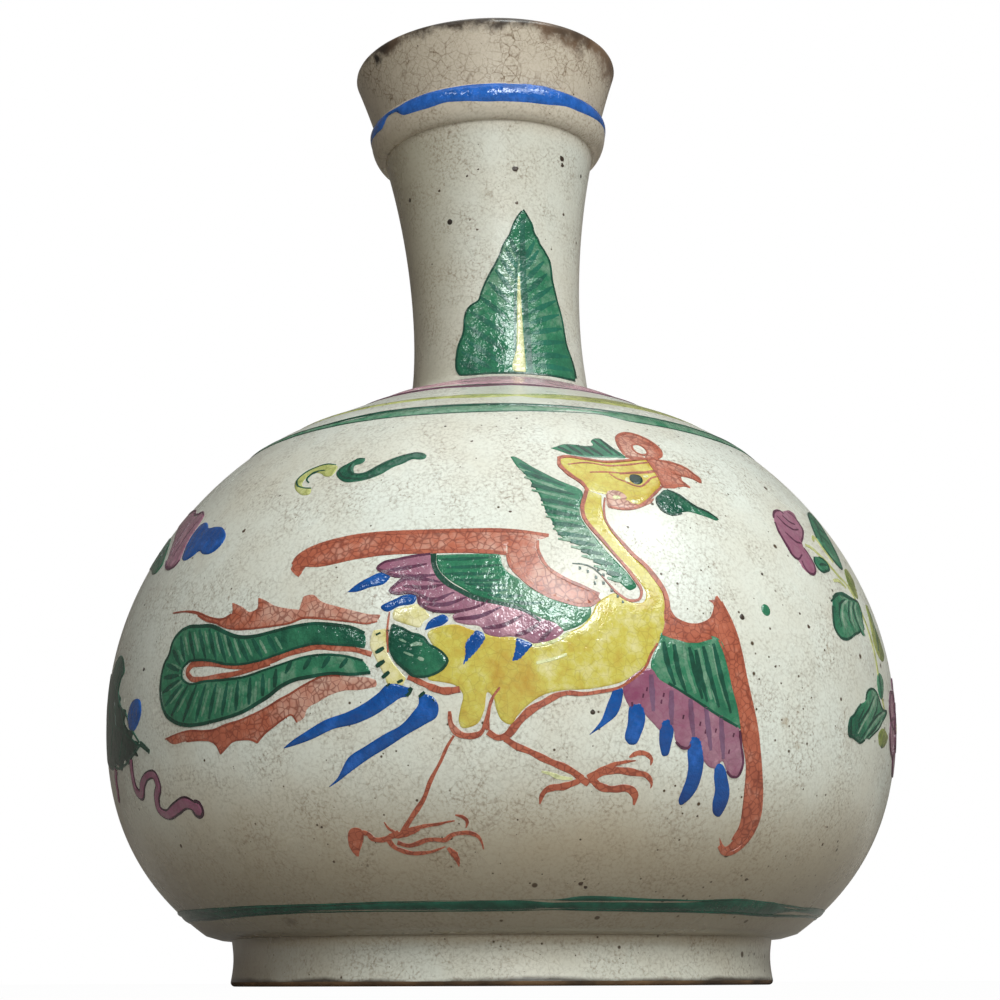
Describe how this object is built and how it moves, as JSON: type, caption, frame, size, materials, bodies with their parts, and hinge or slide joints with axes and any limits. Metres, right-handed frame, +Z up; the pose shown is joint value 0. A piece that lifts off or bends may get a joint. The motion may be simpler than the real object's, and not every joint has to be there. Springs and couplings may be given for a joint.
{
  "type": "bottle vase",
  "caption": "Round-bodied bottle vase with a tall neck and trumpet mouth, in crackled glaze with painted enamel birds and flowers, for cut stems or display.",
  "frame": {"origin": "centre of the underside of the foot ring, where the vase stands", "axes": "+Z up through the body, -Y towards the painted side that the picture shows"},
  "size_m": [0.2266, 0.2266, 0.2825],
  "materials": {
    "crackle_glaze": "glossy crackled glaze",
    "mouth_glaze": "glossy crackled glaze, worn brown at the lip",
    "foot_biscuit": "unglazed and stained edge under a glazed wall",
    "joint_slip": "fired slip",
    "green_enamel": "glossy overglaze enamel",
    "yellow_enamel": "glossy overglaze enamel, worn",
    "pink_enamel": "overglaze enamel, worn",
    "blue_enamel": "thick glossy overglaze enamel"
  },
  "bodies": {
    "root": {"foot_ring": "foot_biscuit", "foot_seam": "joint_slip", "lower_body": "crackle_glaze", "belly_seam": "joint_slip", "upper_body": "crackle_glaze", "neck_seam": "joint_slip", "neck": "crackle_glaze", "mouth_seam": "joint_slip", "mouth": "mouth_glaze", "mouth_coil": "crackle_glaze", "foot_band": "green_enamel", "shoulder_band": "green_enamel", "collar_band": "yellow_enamel", "neck_band": "pink_enamel", "mouth_band": "blue_enamel"}
  },
  "joints": []
}
